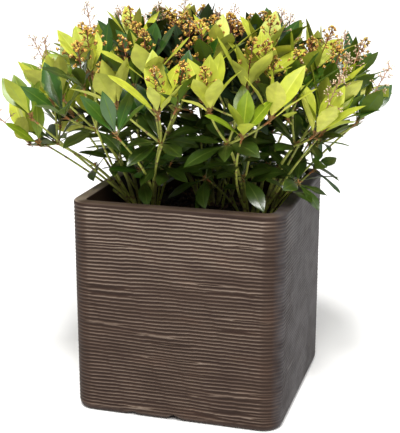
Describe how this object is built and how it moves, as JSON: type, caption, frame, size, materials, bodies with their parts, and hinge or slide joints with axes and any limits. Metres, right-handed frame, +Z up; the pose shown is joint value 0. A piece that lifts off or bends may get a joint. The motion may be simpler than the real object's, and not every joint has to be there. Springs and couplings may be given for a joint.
{
  "type": "potted evergreen shrub",
  "caption": "Evergreen shrub with whorled leaves and small bud panicles on fanned bare stems, in a square ribbed planter that stands on its flat underside.",
  "frame": {"origin": "centre of the planter's flat underside", "axes": "+Z up, the planter's front faces -Y, +X to the right seen from the front"},
  "size_m": [0.7296, 0.617, 0.7526],
  "materials": {
    "pot": "matte grey-brown composite with fine wavy horizontal ribs",
    "mix": "dark moist potting mix with bark chips",
    "bark": "smooth green young bark with leaf scars",
    "foliage": "leathery evergreen leaves, yellow-green when young and dark and glossy when old"
  },
  "bodies": {
    "root": {"pot": "pot", "soil": "mix", "stem_top": "bark", "foliage_top": "foliage", "stem_inner_1": "bark", "foliage_inner_1": "foliage", "stem_inner_2": "bark", "foliage_inner_2": "foliage", "stem_inner_3": "bark", "foliage_inner_3": "foliage", "stem_inner_4": "bark", "foliage_inner_4": "foliage", "stem_inner_5": "bark", "foliage_inner_5": "foliage", "stem_inner_6": "bark", "foliage_inner_6": "foliage", "stem_outer_1": "bark", "foliage_outer_1": "foliage", "stem_outer_2": "bark", "foliage_outer_2": "foliage", "stem_outer_3": "bark", "foliage_outer_3": "foliage", "stem_outer_4": "bark", "foliage_outer_4": "foliage", "stem_outer_5": "bark", "foliage_outer_5": "foliage", "stem_outer_6": "bark", "foliage_outer_6": "foliage", "stem_outer_7": "bark", "foliage_outer_7": "foliage", "stem_outer_8": "bark", "foliage_outer_8": "foliage", "stem_outer_9": "bark", "foliage_outer_9": "foliage", "stem_outer_10": "bark", "foliage_outer_10": "foliage", "stem_low": "bark", "foliage_low": "foliage"}
  },
  "joints": []
}
